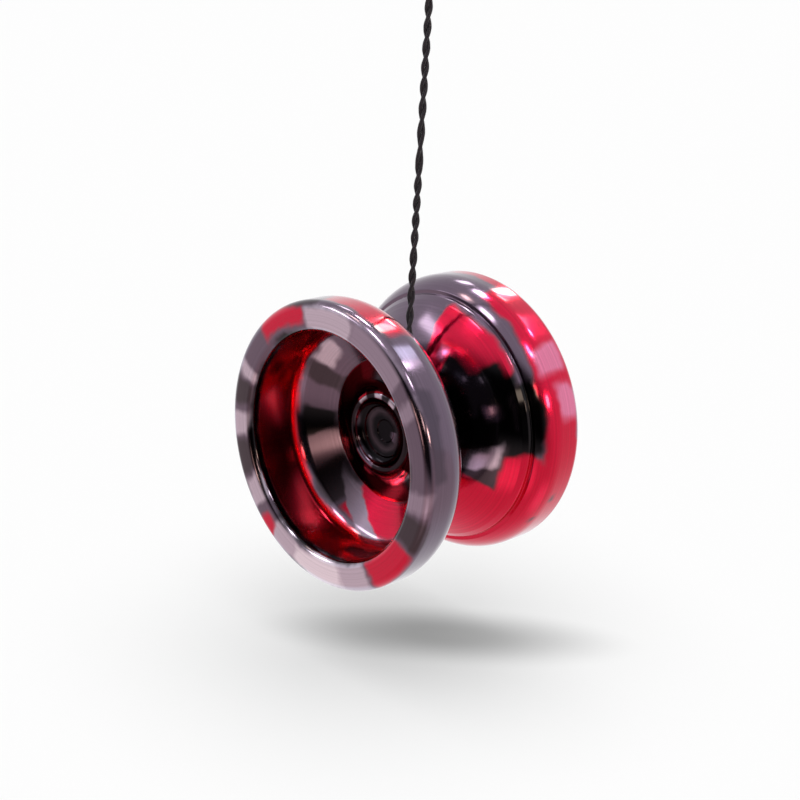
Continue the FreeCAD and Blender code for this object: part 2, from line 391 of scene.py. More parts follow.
def rim_outline(outline):
    start_angle = math.degrees(math.acos((RIM_START[0] - BODY_R + RIM_ROUND_R) / RIM_ROUND_R))
    round_y = RIM_START[1] + RIM_ROUND_R * math.sin(math.radians(start_angle))
    round_centre = (BODY_R - RIM_ROUND_R, round_y)
    outline.arc(on_arc(round_centre, RIM_ROUND_R, -start_angle / 2), (BODY_R, round_y))
    shoulder = (BODY_R - SHOULDER_R, HALF_WIDTH - SHOULDER_R)
    outline.line(on_arc(shoulder, SHOULDER_R, 0))
    outline.arc(on_arc(shoulder, SHOULDER_R, 45), on_arc(shoulder, SHOULDER_R, 90))
    lip = (MOUTH_R + LIP_R, HALF_WIDTH - LIP_R)
    outline.line(on_arc(lip, LIP_R, 90))
    outline.arc(on_arc(lip, LIP_R, 135), on_arc(lip, LIP_R, 180))


def cup_outline(outline):
    land_y = HALF_WIDTH - LIP_R - MOUTH_LAND
    wall_r = MOUTH_R + UNDERCUT
    outline.line((MOUTH_R, land_y), (wall_r, land_y - UNDERCUT), (wall_r, CUP_WALL_Y))
    outline.arc(CUP_CORNER_MIDDLE, CUP_FLOOR_START)
    outline.line(VALLEY, HUB_CONE_TOP)
    outline.arc(HUB_CORNER_MIDDLE, HUB_CORNER_END)
    outline.arc(HUB_RIM_MIDDLE, HUB_RIM_OUTER)
    outline.line(HUB_RIM_INNER)
    outline.arc(HUB_LIP_MIDDLE, HUB_LIP_END)
    outline.arc(HUB_BOWL_MIDDLE, HUB_BOWL_END)
    outline.line(HUB_STEP)
    outline.arc(HUB_WELL_MIDDLE, HUB_WELL_END)
    outline.line((HUB_BOTTOM_R, HUB_BOTTOM_Y), (0, HUB_BOTTOM_Y))


HALF_LINE = eased(half_outline(STUD_R).points, False)[0]
HALF_REACH = np.concatenate(
    [[0], np.cumsum(np.linalg.norm(np.diff(HALF_LINE, axis=0), axis=1))])


def outline_reach(radius, y):
    """Distance along the half's outline of the place on it nearest to a point."""
    start, run = HALF_LINE[:-1], np.diff(HALF_LINE, axis=0)
    length = np.linalg.norm(run, axis=1)
    share = np.clip((((radius, y) - start) * run).sum(axis=1) / length ** 2, 0, 1)
    away = np.linalg.norm(start + share[:, None] * run - (radius, y), axis=1)
    nearest = int(np.argmin(away))
    return float(HALF_REACH[nearest] + share[nearest] * length[nearest])


# ---------------------------------------------------------------- string

def smooth_route(points):
    """Points, in metres, read from a smooth curve along a route in millimetres."""
    curve = bpy.data.curves.new("route", "CURVE")
    curve.dimensions = "3D"
    spline = curve.splines.new("NURBS")
    spline.points.add(len(points) - 1)
    for target, point in zip(spline.points, points):
        target.co = (point[0] * MM, point[1] * MM, point[2] * MM, 1)
    spline.order_u = 3
    spline.use_endpoint_u = True
    spline.resolution_u = 40
    holder = bpy.data.objects.new("route", curve)
    mesh = bpy.data.meshes.new_from_object(holder)
    route = [v.co.copy() for v in mesh.vertices]
    bpy.data.objects.remove(holder)
    bpy.data.curves.remove(curve)
    bpy.data.meshes.remove(mesh)
    return route


def evenly(route, step):
    """The same route with its points one step apart, in metres."""
    line = np.array([tuple(p) for p in route])
    along = np.concatenate([[0], np.cumsum(np.linalg.norm(np.diff(line, axis=0), axis=1))])
    places = np.linspace(0, along[-1], max(2, round(along[-1] / step)))
    return [Vector([np.interp(s, along, line[:, k]) for k in range(3)]) for s in places], places


def frames(route):
    """Every point of the route and two directions across the route there, without twist."""
    across = Vector((1, 0, 0))
    made = []
    for number, here in enumerate(route):
        tangent = route[min(number + 1, len(route) - 1)] - route[max(number - 1, 0)]
        tangent.normalize()
        across = (across - tangent * across.dot(tangent)).normalized()
        made.append((here, across, tangent.cross(across)))
    return made


def ply_tube(route, phase, radius):
    """One ply: a tube whose surface has a twisted groove between each two yarns."""
    points, faces = [], []
    path = frames(route)
    ring = PLY_SEGMENTS
    travelled = 0.0
    for number, (here, u, v) in enumerate(path):
        travelled += (here - path[number - 1][0]).length / MM if number else 0.0
        for k in range(ring):
            angle = 2 * math.pi * k / ring
            twist = angle * PLY_YARNS - 2 * math.pi * travelled / PLY_LAY + phase
            swell = radius * (1 - PLY_GROOVE * (0.5 + 0.5 * math.cos(twist)) ** 2)
            points.append(here + (u * math.cos(angle) + v * math.sin(angle)) * swell * MM)
        if number:
            for k in range(ring):
                a, b = (number - 1) * ring, number * ring
                following = (k + 1) % ring
                faces.append((a + k, a + following, b + following, b + k))
    last = (len(path) - 1) * ring
    faces.append(tuple(reversed(range(ring))))
    faces.append(tuple(range(last, last + ring)))
    return points, faces


def twist_at(distance, lobes):
    """How far the plies have turned round each other, in half turns, at a distance in mm."""
    turned_so_far = 0.0
    for lobe in lobes:
        if distance < lobe:
            return turned_so_far + distance / lobe
        distance -= lobe
        turned_so_far += 1.0
    return turned_so_far + distance / USUAL_LOBE


def smooth_twist(distances, lobes):
    """The same turn, with the changes from one lobe to the next eased."""
    rough = np.array([twist_at(d, lobes) for d in distances])
    width = max(3, round(LOBE_EASE / (distances[1] - distances[0])) | 1)
    padded = np.concatenate([
        rough[0] - (rough[1] - rough[0]) * np.arange(width // 2, 0, -1),
        rough,
        rough[-1] + (rough[-1] - rough[-2]) * np.arange(1, width // 2 + 1),
    ])
    return np.convolve(padded, np.ones(width) / width, mode="valid")


def two_ply(route, ply_r, lobes=()):
    """Two plies twisted round each other along a route, as points and faces."""
    even, places = evenly(route, STRING_STEP * MM)
    turns = smooth_twist(places / MM, lobes)
    path = frames(even)
    points, faces = [], []
    for ply in range(2):
        line = []
        for (here, u, v), turn in zip(path, turns):
            angle = math.pi * (turn + ply)
            line.append(here + (u * math.cos(angle) + v * math.sin(angle)) * ply_r * MM)
        ply_points, ply_faces = ply_tube(line, 2.0 * ply, ply_r * 1.02)
        faces.extend(tuple(k + len(points) for k in face) for face in ply_faces)
        points.extend(ply_points)
    return points, faces


def tear_route(loop_r, leg_end_x, leg_end_rise):
    """A loop round the origin with two legs that close in above it, in millimetres."""
    reach = math.hypot(leg_end_x, leg_end_rise)
    leg_angle = math.atan2(leg_end_rise, leg_end_x) - math.acos(loop_r / reach)
    arc = np.arange(leg_angle, -math.pi - leg_angle, -math.radians(LOOP_STEP_DEG))
    right_leg = np.linspace((leg_end_x, leg_end_rise),
                            (loop_r * math.cos(leg_angle), loop_r * math.sin(leg_angle)), 8)
    left_leg = right_leg[::-1] * (-1, 1)
    loop = np.stack([loop_r * np.cos(arc), loop_r * np.sin(arc)], -1)
    line = np.concatenate([right_leg[:-1], loop, left_leg])
    return [(x, 0.0, z) for x, z in line]


def wound_knot(bottom_z):
    """The string wound round itself, as points and faces."""
    core = [Vector((0, 0, bottom_z + share * KNOT_HEIGHT)) * MM for share in KNOT_CORE_SHARES]
    coil = []
    for share in np.linspace(0, 1, 160):
        angle = 2 * math.pi * KNOT_TURNS * share
        radius = KNOT_COIL_R - KNOT_END_TAPER * (2 * share - 1) ** 2
        height = KNOT_STRAND_R + share * (KNOT_HEIGHT - 2 * KNOT_STRAND_R)
        coil.append(Vector((radius * math.cos(angle), radius * math.sin(angle),
                            bottom_z + height)) * MM)
    points, faces = [], []
    for line, strand_r in ((core, KNOT_CORE_R), (coil, KNOT_STRAND_R)):
        strand_points, strand_faces = ply_tube(line, 0.0, strand_r)
        faces.extend(tuple(k + len(points) for k in face) for face in strand_faces)
        points.extend(strand_points)
    return points, faces


# ---------------------------------------------------------------- stud

def threaded_stud():
    """Points and faces of a stud with a thread, chamfers, and a hexagon socket in its rear end."""
    spokes = THREAD_SEGMENTS
    end_y = STUD_LENGTH / 2
    angles = np.linspace(0, 2 * math.pi, spokes, endpoint=False)
    rings = []
    for y in np.linspace(-end_y, end_y, round(STUD_LENGTH / THREAD_PITCH * RINGS_PER_PITCH)):
        from_crest = 1 - np.abs(2 * ((y / THREAD_PITCH - angles / (2 * math.pi)) % 1) - 1)
        down_flank = np.clip((from_crest - THREAD_CREST) / THREAD_FLANK, 0, 1)
        threaded = STUD_R - THREAD_DEPTH * down_flank
        chamfered = STUD_R - max(0.0, STUD_CHAMFER - (end_y - abs(y)))
        rings.append((np.minimum(threaded, chamfered), y))
    from_flat = (angles + math.pi / 6) % (math.pi / 3) - math.pi / 6
    socket = 0.5 * SOCKET_FLATS / np.cos(from_flat)
    rings += [(socket, end_y), (socket, end_y - SOCKET_DEPTH)]
    points = [(r * math.cos(angle) * MM, y * MM, r * math.sin(angle) * MM)
              for radii, y in rings for r, angle in zip(radii, angles)]
    faces = [tuple(range(spokes)), tuple(reversed(range(len(points) - spokes, len(points))))]
    for a in range(0, len(points) - spokes, spokes):
        for k in range(spokes):
            following = (k + 1) % spokes
            faces.append((a + k, a + spokes + k, a + spokes + following, a + following))
    return points, faces


# ---------------------------------------------------------------- camera

def make_camera():
    azimuth, elevation = math.radians(CAMERA_AZIMUTH), math.radians(CAMERA_ELEVATION)
    roll = math.radians(CAMERA_ROLL)
    ahead = Vector((-math.sin(azimuth), math.cos(azimuth), 0))
    level_right = Vector((math.cos(azimuth), math.sin(azimuth), 0))
    forward = ahead * math.cos(elevation) - Vector((0, 0, math.sin(elevation)))
    level_up = ahead * math.sin(elevation) + Vector((0, 0, math.cos(elevation)))
    right = level_right * math.cos(roll) + level_up * math.sin(roll)
    up = level_up * math.cos(roll) - level_right * math.sin(roll)
    place = -right * CENTRE_RIGHT - up * CENTRE_UP - forward * CAMERA_DISTANCE
    camera = bpy.data.objects.new("camera", bpy.data.cameras.new("camera"))
    bpy.context.scene.collection.objects.link(camera)
    camera.data.lens = CAMERA_LENS
    camera.data.clip_start = 0.01
    turn = Matrix((right, up, -forward)).transposed().to_4x4()
    camera.matrix_world = Matrix.Translation(place) @ turn
    bpy.context.scene.camera = camera


make_camera()


# ---------------------------------------------------------------- materials

# Colours of the splashes. Most are dyes, and some also paint light: the near-black ones paint shade
# into the hub, the brighter red paints light onto the cup walls, and the silver, smoky grey, pink
# and pale ones paint highlights and reflections.
BLACK_AND_PAINTED_SHADE = (0.010, 0.009, 0.011, 1)
DARK_AND_PAINTED_SHADE = (0.025, 0.019, 0.023, 1)
CHARCOAL = (0.055, 0.040, 0.050, 1)
RED_WITH_PAINTED_LIGHT = (0.95, 0.03, 0.06, 1)
DUSK = (0.080, 0.060, 0.086, 1)
SMOKE_AND_PAINTED_REFLECTION = (0.142, 0.103, 0.145, 1)
LILAC = (0.30, 0.235, 0.305, 1)
SILVER_AND_PAINTED_HIGHLIGHT = (0.53, 0.45, 0.53, 1)
PALE_PAINTED_HIGHLIGHT = (0.82, 0.74, 0.81, 1)
RED = (0.62, 0.007, 0.045, 1)
PINK_PAINTED_HIGHLIGHT = (0.74, 0.20, 0.34, 1)

# Stretches of a half's outline, each between two places on it
ZONES = {
    "flare": (FLARE_START, FLARE_END),
    "bevel": (FLARE_END, RIM_START),
    "rim": (RIM_START, (BODY_R, HALF_WIDTH - SHOULDER_R)),
    "face": ((BODY_R, HALF_WIDTH - SHOULDER_R), (MOUTH_R + 0.5 * LIP_R, HALF_WIDTH)),
    "lip": ((MOUTH_R + 0.5 * LIP_R, HALF_WIDTH), (MOUTH_R, HALF_WIDTH - LIP_R - MOUTH_LAND)),
    "wall": ((MOUTH_R, HALF_WIDTH - LIP_R - MOUTH_LAND), CUP_FLOOR_START),
    "floor": (CUP_FLOOR_START, VALLEY),
    "cone": (VALLEY, HUB_CONE_TOP),
    "hub corner": (HUB_CONE_TOP, HUB_CORNER_END),
    "hub rim": (HUB_CORNER_END, HUB_LIP_END),
    "bowl": (HUB_LIP_END, (0, HUB_BOTTOM_Y)),
}

# A splash is a colour (a dye, or painted light where marked below), the clock angles in degrees
# between which it lies (0 is up, and they grow towards +X), its zone, and the shares of the zone's
# length between which it lies. A leaning one also has the degrees that its clock angles grow by
# over its length. Later ones lie over earlier ones.
ALL_ROUND = (-200, 200)
FRONT_SPLASHES = [
    (RED, 140, 250, "flare", 0.0, 1.1),
    (SILVER_AND_PAINTED_HIGHLIGHT, 106, 136, "flare", 0.45, 0.95),
    (SMOKE_AND_PAINTED_REFLECTION, *ALL_ROUND, "rim", -0.1, 1.0),
    (CHARCOAL, -42, -13, "rim", 0.6, 1.1),
    (RED, -12, 27, "rim", -0.1, 0.98),
    (RED, 152, 232, "rim", 0.0, 0.98),
    (SMOKE_AND_PAINTED_REFLECTION, *ALL_ROUND, "face", 0.0, 1.1),
    # Low on the face: a silver block that is partly a painted highlight, and a pale spot in it that
    # is a painted highlight.
    (SILVER_AND_PAINTED_HIGHLIGHT, 150, 213, "face", 0.15, 1.1),
    (PALE_PAINTED_HIGHLIGHT, 166, 194, "face", 0.25, 0.95),
    (RED, -148, -138, "face", 0.1, 0.8),
    (SILVER_AND_PAINTED_HIGHLIGHT, -132, -120, "face", 0.1, 1.1),
    (CHARCOAL, -118, -103, "face", 0.1, 1.1),
    (SILVER_AND_PAINTED_HIGHLIGHT, -101, -90, "face", 0.2, 1.1),
    (CHARCOAL, -86, -75, "face", 0.1, 1.1),
    (SILVER_AND_PAINTED_HIGHLIGHT, -73, -65, "face", 0.25, 1.1),
    (RED, -47, -17, "face", -0.1, 0.85),
    (SILVER_AND_PAINTED_HIGHLIGHT, -16, 14, "face", 0.3, 1.1),
    (LILAC, 14, 46, "face", 0.2, 1.1),
    (CHARCOAL, -28, -9, "face", -0.5, 0.3),
    (CHARCOAL, 186, 262, "face", -0.3, 0.27),
    (LILAC, 55, 62, "face", 0.1, 1.1),
    (DUSK, 52, 86, "face", -0.4, 0.12),
    (LILAC, 90, 100, "face", 0.1, 1.1),
    (CHARCOAL, 102, 119, "face", 0.0, 1.1),
    (RED, 121, 148, "face", 0.1, 1.1),
    (BLACK_AND_PAINTED_SHADE, *ALL_ROUND, "lip", 0.2, 0.9),
    # The cup wall's red is brighter than the red outside: red dye with painted light on it.
    (RED_WITH_PAINTED_LIGHT, *ALL_ROUND, "wall", 0.0, 0.85),
    (BLACK_AND_PAINTED_SHADE, 163, 181, "wall", 0.3, 0.62),
    (SMOKE_AND_PAINTED_REFLECTION, *ALL_ROUND, "floor", -0.2, 1.0),
    # A silver spot on the cup floor: a painted highlight.
    (SILVER_AND_PAINTED_HIGHLIGHT, -60, -43, "floor", -0.1, 0.5),
    (CHARCOAL, -73, -60, "floor", -0.15, 1.0),
    (BLACK_AND_PAINTED_SHADE, -106, -90, "floor", -0.15, 1.0),
    (CHARCOAL, -150, -127, "floor", -0.15, 1.0),
    (RED, 60, 206, "floor", 0.0, 1.0),
    (LILAC, 184, 206, "floor", -0.3, 0.85, 42),
    (SILVER_AND_PAINTED_HIGHLIGHT, 50, 120, "floor", 0.0, 1.0),
    (DARK_AND_PAINTED_SHADE, *ALL_ROUND, "cone", 0.1, 1.0),
    (CHARCOAL, -38, 50, "cone", 0.0, 0.9),
    # A silver patch on the cone, set so that a lamp's reflection in it lights the lower cup corner:
    # a painted reflection.
    (SILVER_AND_PAINTED_HIGHLIGHT, 228, 246, "cone", 0.0, 0.55),
    # The hub is near-black all over: painted shade that makes it read as a deep hole.
    (BLACK_AND_PAINTED_SHADE, *ALL_ROUND, "hub corner", 0.0, 1.0),
    # Silver arcs on the hub's corner and rim: painted highlights.
    (SILVER_AND_PAINTED_HIGHLIGHT, 130, 212, "hub corner", 0.2, 1.0),
    (DARK_AND_PAINTED_SHADE, *ALL_ROUND, "hub rim", 0.0, 1.0),
    (SILVER_AND_PAINTED_HIGHLIGHT, -48, -30, "hub rim", 0.1, 0.8),
    (SILVER_AND_PAINTED_HIGHLIGHT, -12, 4, "hub rim", 0.2, 0.8),
    (SILVER_AND_PAINTED_HIGHLIGHT, 18, 32, "hub rim", 0.2, 0.9),
    (SMOKE_AND_PAINTED_REFLECTION, 190, 230, "hub rim", 0.0, 0.9),
    (BLACK_AND_PAINTED_SHADE, *ALL_ROUND, "bowl", 0.0, 1.1),
    (CHARCOAL, *ALL_ROUND, "bowl", 0.40, 0.54),
    # A smoky grey patch in the bowl: a painted highlight.
    (SMOKE_AND_PAINTED_REFLECTION, 80, 125, "bowl", 0.58, 0.72),
]
REAR_SPLASHES = [
    (SMOKE_AND_PAINTED_REFLECTION, -90, 12, "flare", -0.3, 1.1),
    (BLACK_AND_PAINTED_SHADE, 26, 93, "flare", -0.3, 1.1),
    (RED, 5, 27, "flare", -0.3, 1.0),
    (RED, 5, 43, "flare", 0.55, 1.0),
    (SMOKE_AND_PAINTED_REFLECTION, 62, 73, "flare", 0.55, 0.75),
    (SMOKE_AND_PAINTED_REFLECTION, 60, 80, "flare", 0.88, 1.02),
    (SMOKE_AND_PAINTED_REFLECTION, 56, 70, "bevel", 0.15, 0.5),
    # A pink patch where a lamp's highlight falls: painted sheen round that highlight.
    (PINK_PAINTED_HIGHLIGHT, 17, 25, "flare", 0.40, 0.56),
    (CHARCOAL, 88, 113, "flare", -0.3, 0.80),
    # A silver patch on the flare: a painted reflection of a white floor below.
    (SILVER_AND_PAINTED_HIGHLIGHT, 91, 105, "flare", 0.18, 0.72, -9),
    (RED, 95, 250, "flare", 0.78, 1.2),
    (RED, 112, 250, "flare", -0.3, 1.0),
    (RED, 5, 52, "flare", 0.92, 1.1),
    (SMOKE_AND_PAINTED_REFLECTION, -90, 14, "rim", -0.2, 1.0),
    (RED, -14, 22, "rim", 0.8, 1.2),
    (RED, 16, 200, "rim", 0.2, 1.2),
    (RED, 94, 200, "rim", -0.3, 0.3),
    # A smoky grey band along the rim's inner edge: a painted reflection.
    (SMOKE_AND_PAINTED_REFLECTION, 10, 60, "rim", -0.2, 0.22),
    # Pink blocks on the rim: painted highlights.
    (PINK_PAINTED_HIGHLIGHT, 45, 60, "rim", 0.35, 1.1),
    (PINK_PAINTED_HIGHLIGHT, 64, 76, "rim", 0.55, 1.1),
    (BLACK_AND_PAINTED_SHADE, 58, 92, "rim", -0.4, 0.15),
    (CHARCOAL, 108, 112, "rim", 0.6, 0.75),
    (CHARCOAL, 123, 128, "rim", 0.4, 0.5),
    (RED, 28, 66, "face", 0.0, 0.9),
    (LILAC, 66, 84, "face", 0.1, 1.1),
    (RED, 128, 196, "face", 0.0, 1.1),
    (LILAC, 196, 214, "face", 0.2, 1.1),
    (RED, 262, 290, "face", 0.1, 1.1),
    (BLACK_AND_PAINTED_SHADE, *ALL_ROUND, "lip", 0.2, 0.9),
    # The cup wall's red is brighter than the red outside: red dye with painted light on it.
    (RED_WITH_PAINTED_LIGHT, *ALL_ROUND, "wall", 0.0, 0.85),
    (SMOKE_AND_PAINTED_REFLECTION, *ALL_ROUND, "floor", -0.2, 1.0),
    (RED, -128, -20, "floor", 0.0, 1.0),
    (LILAC, -42, -24, "floor", -0.1, 0.9, 40),
    (BLACK_AND_PAINTED_SHADE, 56, 78, "floor", -0.15, 1.0),
    (SILVER_AND_PAINTED_HIGHLIGHT, 104, 122, "floor", -0.1, 0.6),
    (CHARCOAL, 128, 150, "floor", -0.15, 1.0),
    (DARK_AND_PAINTED_SHADE, *ALL_ROUND, "cone", 0.1, 1.0),
    # The hub is near-black all over: painted shade that makes it read as a deep hole.
    (DARK_AND_PAINTED_SHADE, *ALL_ROUND, "hub rim", 0.0, 1.0),
    (BLACK_AND_PAINTED_SHADE, *ALL_ROUND, "bowl", 0.0, 1.1),
    (CHARCOAL, *ALL_ROUND, "bowl", 0.40, 0.54),
]


def wandering(tree, flow, reaches):
    """How far the splash edges wander off, in millimetres, from -1 to 1 times each reach."""
    moved = 0.0
    for scale, reach in reaches:
        stretched = add(tree, "ShaderNodeVectorMath",
                        {0: flow, 1: (scale, 0.5 * scale, scale)}, operation="MULTIPLY")
        noise = add(tree, "ShaderNodeTexNoise",
                    {"Vector": stretched.outputs[0], "Scale": 1.0, "Detail": 1.0})
        moved = math_node(tree, "ADD", moved, math_node(
            tree, "MULTIPLY_ADD", noise.outputs["Fac"], 2 * reach, -reach))
    return moved


def outside_splash(tree, clock, reach, clocks, stretch, lean):
    """Distance in millimetres outside a splash, and below 0 within it."""
    middle, half = math.radians(sum(clocks) / 2), math.radians(clocks[1] - clocks[0]) / 2
    away = math_node(tree, "SUBTRACT", reach, sum(stretch) / 2)
    if lean:
        clock = math_node(tree, "MULTIPLY_ADD", away,
                          -math.radians(lean) / (stretch[1] - stretch[0]), clock)
    turned_by = math_node(tree, "SUBTRACT", clock, middle)
    turned_by = math_node(tree, "WRAP", turned_by, math.pi, -math.pi)
    round_it = math_node(tree, "MULTIPLY_ADD", math_node(tree, "ABSOLUTE", turned_by),
                         WRAP_R, -half * WRAP_R)
    along_it = math_node(tree, "SUBTRACT", math_node(tree, "ABSOLUTE", away),
                         (stretch[1] - stretch[0]) / 2)
    return math_node(tree, "SMOOTH_MAX", round_it, along_it, CORNER_ROUND)


def anodised(name, splashes):
    """Polished aluminium dyed near-black and smoky grey, with splashes of other dyes, under a
    clear oxide. Some splashes are painted light: highlights, reflections and shade painted where
    lamps and surroundings would fall, and a brighter red on the cup walls. The cutting tool left
    fine marks round the axis. Round the hub, inside the valley, the gloss is low."""
    material, tree, shader = new_material(name)
    flow = add(tree, "ShaderNodeAttribute", attribute_name="flow").outputs["Vector"]
    across = add(tree, "ShaderNodeSeparateXYZ", {"Vector": flow})
    along = across.outputs["Y"]
    clock = math_node(tree, "ARCTAN2", across.outputs["X"], across.outputs["Z"])
    clock = math_node(tree, "MULTIPLY_ADD", wandering(tree, flow, CLOCK_WANDER),
                      1 / WRAP_R, clock)
    elsewhere = add(tree, "ShaderNodeVectorMath", {0: flow, 1: (40, 7, 13)}, operation="ADD")
    reach = math_node(tree, "ADD", along,
                      wandering(tree, elsewhere.outputs[0], REACH_WANDER))
    broad = add(tree, "ShaderNodeTexNoise",
                {"Vector": flow, "Scale": BROAD_WAVES_PER_MM, "Detail": 1.0})
    colour = mix_colour(tree, ramp(tree, broad.outputs["Fac"], *BROAD_EDGE), BLACK_AND_PAINTED_SHADE, SMOKE_AND_PAINTED_REFLECTION)
    for splash_colour, first_clock, last_clock, zone, start, end, *lean in splashes:
        zone_start, zone_end = (outline_reach(*place_on_it) for place_on_it in ZONES[zone])
        stretch = [zone_start + share * (zone_end - zone_start) for share in (start, end)]
        outside = outside_splash(tree, clock, reach, (first_clock, last_clock), stretch,
                                 sum(lean))
        colour = mix_colour(tree, ramp(tree, outside, SPLASH_EDGE, -SPLASH_EDGE), colour, splash_colour)
    marks = add(tree, "ShaderNodeTexNoise", {"W": along, "Scale": MARKS_PER_MM, "Detail": 5.0},
                noise_dimensions="1D").outputs["Fac"]
    streaked = math_node(tree, "MULTIPLY_ADD", marks, MARK_CONTRAST, 1 - 0.5 * MARK_CONTRAST)
    colour = add(tree, "ShaderNodeVectorMath", {0: colour, "Scale": streaked},
                 operation="SCALE").outputs[0]
    tree.links.new(colour, shader.inputs["Base Color"])
    bump = add(tree, "ShaderNodeBump", {"Height": marks, "Distance": MARK_DEPTH * MM,
                                        "Strength": 1.0})
    tree.links.new(bump.outputs[0], shader.inputs["Normal"])
    valley = outline_reach(*VALLEY)
    outside = ramp(tree, along, valley + 0.5, valley - 0.5)
    gloss = math_node(tree, "MULTIPLY_ADD", outside, 1 - HUB_GLOSS, HUB_GLOSS)
    tree.links.new(gloss, shader.inputs["Coat Weight"])
    tree.links.new(gloss, shader.inputs["Specular Tint"])
    tangent = add(tree, "ShaderNodeTangent", direction_type="RADIAL", axis="Y")
    tree.links.new(tangent.outputs[0], shader.inputs["Tangent"])
    shader.inputs["Metallic"].default_value = 1.0
    shader.inputs["Roughness"].default_value = METAL_ROUGHNESS
    shader.inputs["Anisotropic"].default_value = METAL_ANISOTROPY
    shader.inputs["Anisotropic Rotation"].default_value = 0.25
    shader.inputs["Coat IOR"].default_value = OXIDE_IOR
    shader.inputs["Coat Roughness"].default_value = OXIDE_ROUGHNESS
    return material


def clouded(name, low, high, scale, stretch=(1, 1, 1), depth=0.0, **values):
    """A material whose colour drifts between two, in clouds so many to the millimetre, and whose
    surface rises and falls with them by a depth in millimetres."""
    material, tree, shader = new_material(name)
    place = add(tree, "ShaderNodeTexCoord").outputs["Object"]
    stretched = add(tree, "ShaderNodeVectorMath",
                    {0: place, 1: tuple(s / MM for s in stretch)}, operation="MULTIPLY")
    cloud = add(tree, "ShaderNodeTexNoise",
                {"Vector": stretched.outputs[0], "Scale": scale, "Detail": 4.0}).outputs["Fac"]
    colour = mix_colour(tree, ramp(tree, cloud, 0.35, 0.65), (*low, 1), (*high, 1))
    tree.links.new(colour, shader.inputs["Base Color"])
    if depth:
        bump = add(tree, "ShaderNodeBump", {"Height": cloud, "Distance": depth * MM})
        tree.links.new(bump.outputs[0], shader.inputs["Normal"])
    for key, value in values.items():
        shader.inputs[key.replace("_", " ")].default_value = value
    return material


front_metal = anodised("front_anodised", FRONT_SPLASHES)
rear_metal = anodised("rear_anodised", REAR_SPLASHES)
string_dye = clouded("black_polyester", (0.005, 0.0035, 0.006), (0.014, 0.010, 0.016), 9.0,
                     (1, 1, 0.25), depth=0.02, Roughness=0.8, Sheen_Weight=0.25,
                     Sheen_Roughness=0.4)
steel = clouded("bearing_steel", (0.48, 0.48, 0.50), (0.60, 0.60, 0.62), 3.0, (1, 6, 1),
                depth=0.0006, Metallic=1.0, Roughness=0.2)
stud_steel = clouded("black_oxide_steel", (0.030, 0.030, 0.034), (0.070, 0.068, 0.070), 4.0,
                     depth=0.001, Metallic=1.0, Roughness=0.38)
cage_brass = clouded("cage_brass", (0.52, 0.34, 0.12), (0.66, 0.47, 0.20), 3.0,
                     depth=0.001, Metallic=1.0, Roughness=0.3)
silicone = clouded("silicone", (0.66, 0.66, 0.63), (0.78, 0.78, 0.75), 2.0, depth=0.01,
                   Roughness=0.55, Subsurface_Weight=0.15, Subsurface_Scale=0.001)


# ---------------------------------------------------------------- pieces

def make_string():
    route = smooth_route(STRING_ROUTE)
    points, faces = two_ply(route, PLY_R, LOBES)
    piece = mesh_object("string_twisted", points, faces, "string_and_race", "cord", string_dye,
                        ["string"])
    loop_route = [Vector(p) * MM for p in tear_route(
        BEARING_LOOP_R, PLY_R + BEARING_LOOP_CLEARANCE, BEARING_LEGS_END_Z)]
    loop_even, _ = evenly(loop_route, STRING_STEP * MM)
    points, faces = ply_tube(loop_even, 0.0, PLY_R)
    bearing_loop = mesh_object("string_round_bearing", points, faces, "string_and_race", "cord",
                               string_dye, ["string_bearing_loop"])
    rise = FINGER_LOOP_CENTRE_Z - (STRING_ROUTE[-1][2] + KNOT_HEIGHT - LEG_OVERLAP)
    loop_route = [Vector((x, 0, FINGER_LOOP_CENTRE_Z - z)) * MM for x, _, z in tear_route(
        FINGER_LOOP_R, STRING_R + FINGER_LEGS_CLEARANCE, rise)]
    points, faces = two_ply(loop_route, PLY_R)
    finger_loop = mesh_object("string_finger_loop", points, faces, "string_and_race", "cord",
                              string_dye, ["finger_loop"])
    points, faces = wound_knot(STRING_ROUTE[-1][2])
    knot = mesh_object("string_knot_wound", points, faces, "string_and_race", "cord", string_dye,
                       ["string_knot"])


def make_half(name, node, body, hole_r, metal, front):
    half = turned(name, half_outline(hole_r), body, "anodised_metal", metal, [node], front=front)
    half.visible_diffuse = False


def make_pad(name, node, body, clearance, front):
    outline = Outline((PAD_INNER_R + clearance, PAD_FACE_Y))
    outline.line(
        (PAD_OUTER_R - clearance, PAD_FACE_Y),
        (PAD_OUTER_R - clearance, PAD_GROOVE_Y - clearance),
        (PAD_INNER_R + clearance, PAD_GROOVE_Y - clearance),
    )
    turned(name, outline, body, "silicone", silicone, [node], front=front, closed=True)


make_string()
make_half("front_half_turned", "front_half", "rotor", STUD_R, front_metal, True)
make_half("rear_half_turned", "rear_half", "rear_half", STUD_R + THREAD_CLEARANCE, rear_metal,
          False)
make_pad("front_pad_turned", "front_response_pad", "rotor", 0.0, True)
make_pad("rear_pad_turned", "rear_response_pad", "rear_carrier", PAD_CLEARANCE, False)
stud = mesh_object("axle_stud_threaded", *threaded_stud(), "rotor", "steel", stud_steel,
                   ["axle_stud"])
stud.data.set_sharp_from_angle(angle=math.radians(30))

# The bearing's own pieces keep their shape and get their metal
for node_name, cad_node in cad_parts.items():
    if cad_node.hide_render:
        continue
    cad_node.data.materials.clear()
    cad_node.data.materials.append(cage_brass if node_name == "ball_retainer" else steel)


# ---------------------------------------------------------------- studio

